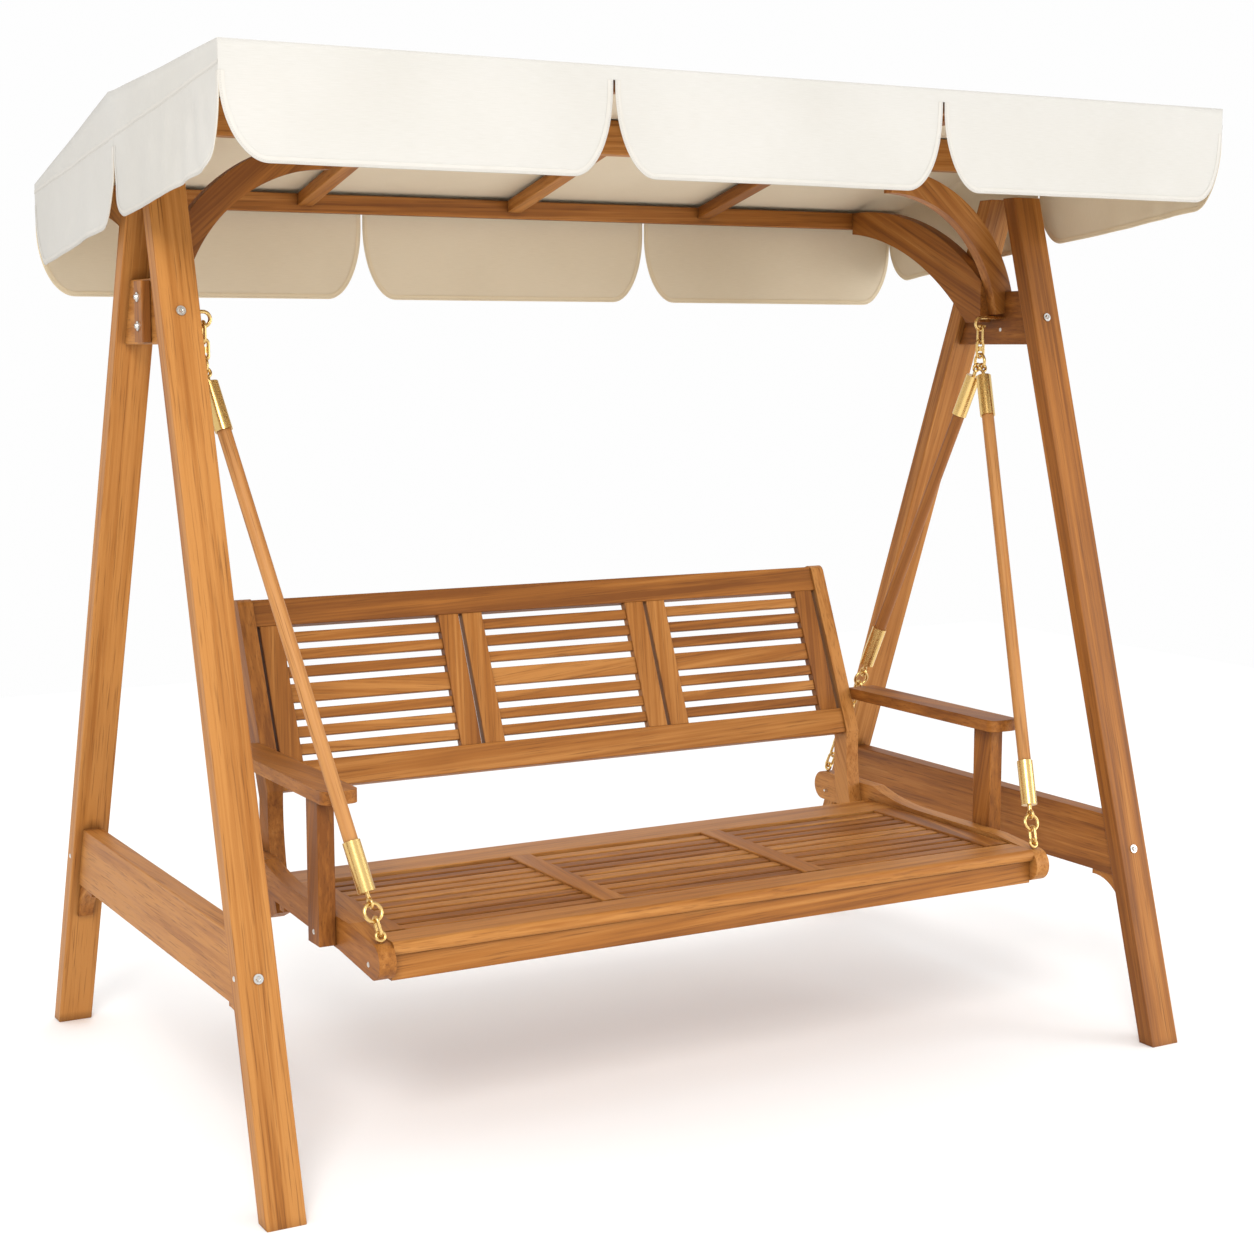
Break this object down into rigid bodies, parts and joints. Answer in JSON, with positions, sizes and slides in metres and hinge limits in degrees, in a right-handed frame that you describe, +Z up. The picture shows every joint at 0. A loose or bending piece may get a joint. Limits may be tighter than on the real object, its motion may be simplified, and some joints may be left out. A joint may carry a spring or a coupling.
{
  "type": "porch swing",
  "caption": "Wooden garden swing bench: a slatted seat with back and arms hangs from rods under a cloth canopy carried on two A-frames.",
  "frame": {"origin": "on the ground, in the middle of the four feet", "axes": "+Z up, +X to the right along the bench, the bench faces -Y"},
  "size_m": [2.052, 1.3095, 1.8897],
  "materials": {
    "frame_wood": "oiled",
    "seat_wood": "oiled",
    "rod_wood": "oiled",
    "canopy_cloth": "matte",
    "tie_webbing": "matte",
    "brass": "polished",
    "zinc": "plated"
  },
  "bodies": {
    "frame": {"arch_left": "frame_wood", "arch_right": "frame_wood", "canopy": "canopy_cloth", "canopy_ties": "tie_webbing", "cleat_left": "frame_wood", "cleat_right": "frame_wood", "corner_brackets": "frame_wood", "crosspiece_left": "frame_wood", "crosspiece_right": "frame_wood", "frame_bolts": "zinc", "front_rail": "frame_wood", "hooks": "brass", "leg_front_left": "frame_wood", "leg_front_right": "frame_wood", "leg_rear_left": "frame_wood", "leg_rear_right": "frame_wood", "middle_beam": "frame_wood", "rafters_front": "frame_wood", "rafters_rear": "frame_wood", "rear_arm_left": "frame_wood", "rear_arm_right": "frame_wood", "rear_rail": "frame_wood", "side_screws": "zinc", "stretcher_left": "frame_wood", "stretcher_right": "frame_wood"},
    "swing": {"arm_post_left": "seat_wood", "arm_post_right": "seat_wood", "armrest_left": "seat_wood", "armrest_right": "seat_wood", "back_bottom_rail": "seat_wood", "back_muntins": "seat_wood", "back_slats_centre": "seat_wood", "back_slats_left": "seat_wood", "back_slats_right": "seat_wood", "back_stile_left": "seat_wood", "back_stile_right": "seat_wood", "back_top_rail": "seat_wood", "front_chains": "brass", "lower_ferrules": "brass", "rear_chains": "brass", "rod_front_left": "rod_wood", "rod_front_right": "rod_wood", "rod_rear_left": "rod_wood", "rod_rear_right": "rod_wood", "screw_eyes": "brass", "seat_apron": "seat_wood", "seat_dividers": "seat_wood", "seat_end_rails": "seat_wood", "seat_front_board": "seat_wood", "seat_rear_board": "seat_wood", "seat_rear_rail": "seat_wood", "seat_slats_centre": "seat_wood", "seat_slats_left": "seat_wood", "seat_slats_right": "seat_wood", "side_member_left": "seat_wood", "side_member_right": "seat_wood", "swing_screws": "zinc", "top_chain_left": "brass", "top_chain_right": "brass", "upper_ferrules": "brass"}
  },
  "joints": [
    {"name": "swing", "type": "hinge", "parent": "frame", "child": "swing", "pos_m": [0, -0.104, 1.462], "axis": [1, 0, 0], "range_deg": [-20, 20]}
  ]
}
